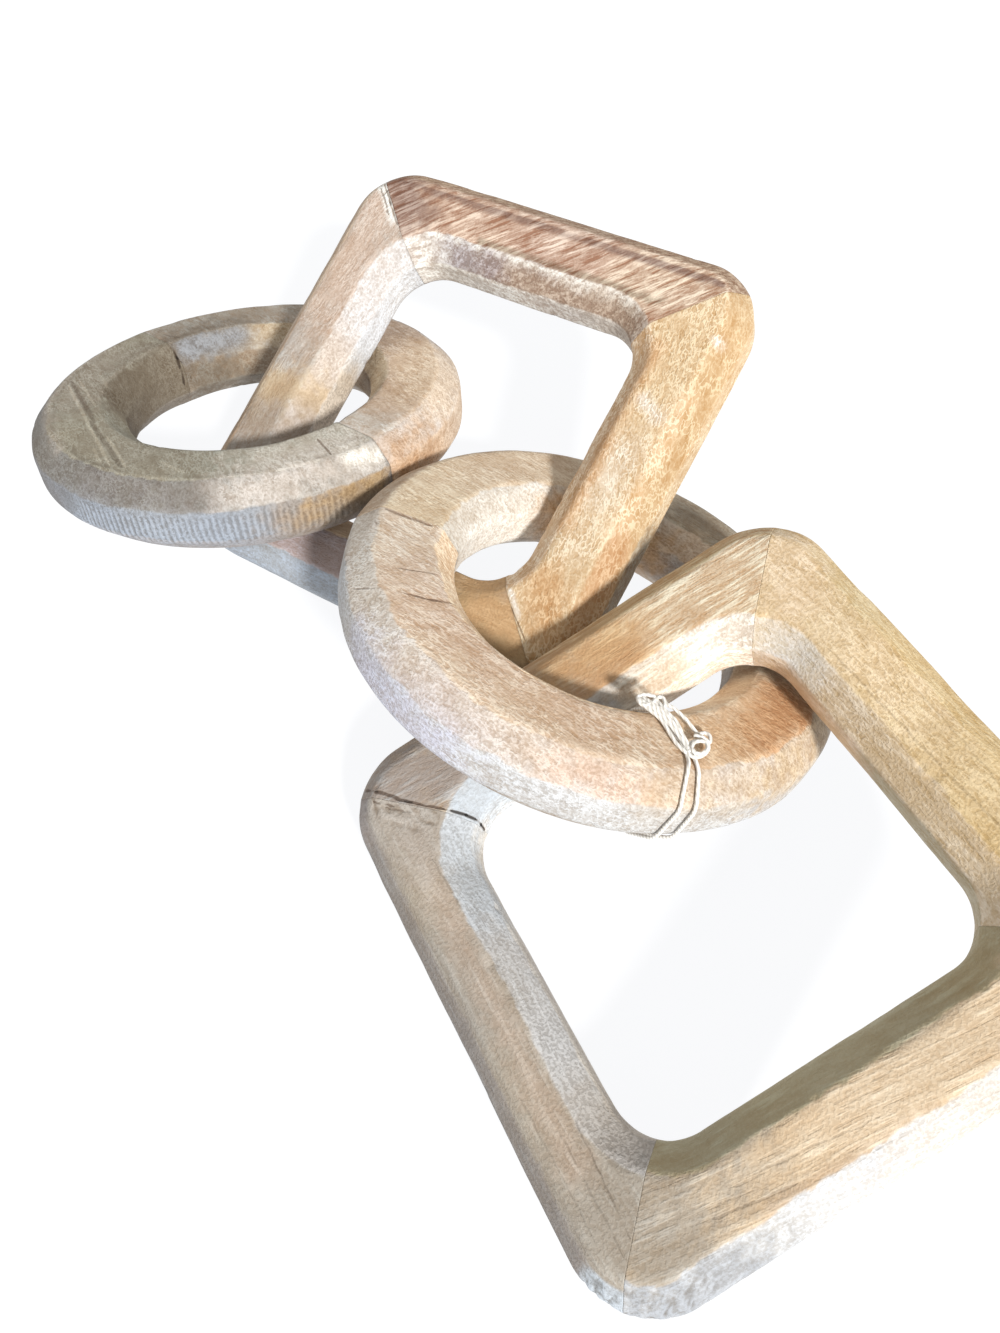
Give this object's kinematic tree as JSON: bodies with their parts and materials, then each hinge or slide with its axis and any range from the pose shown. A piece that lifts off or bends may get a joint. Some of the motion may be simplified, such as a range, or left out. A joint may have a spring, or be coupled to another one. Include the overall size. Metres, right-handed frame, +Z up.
{
  "type": "decorative wooden chain",
  "caption": "Loose decorative chain of chunky whitewashed wood links, rings and rounded squares, lying linked on a table.",
  "frame": {"origin": "on the table, under the middle of the chain's box", "axes": "+X along the chain from the end ring to the end square, +Y to its left as seen from above, +Z up"},
  "size_m": [0.386, 0.2352, 0.0849],
  "materials": {
    "whitewashed_wood": "dry matt wood with a worn pale wash in the grain",
    "string": "thin white twisted thread"
  },
  "bodies": {
    "root": {"end_ring_rear_half": "whitewashed_wood", "end_ring_front_half": "whitewashed_wood", "inner_square_far_bar": "whitewashed_wood", "inner_square_right_bar": "whitewashed_wood", "inner_square_near_bar": "whitewashed_wood", "inner_square_left_bar": "whitewashed_wood", "inner_ring_front_half": "whitewashed_wood", "inner_ring_rear_half": "whitewashed_wood", "end_square_far_bar": "whitewashed_wood", "end_square_right_bar": "whitewashed_wood", "end_square_near_bar": "whitewashed_wood", "end_square_left_bar": "whitewashed_wood", "string_tie": "string"}
  },
  "joints": []
}
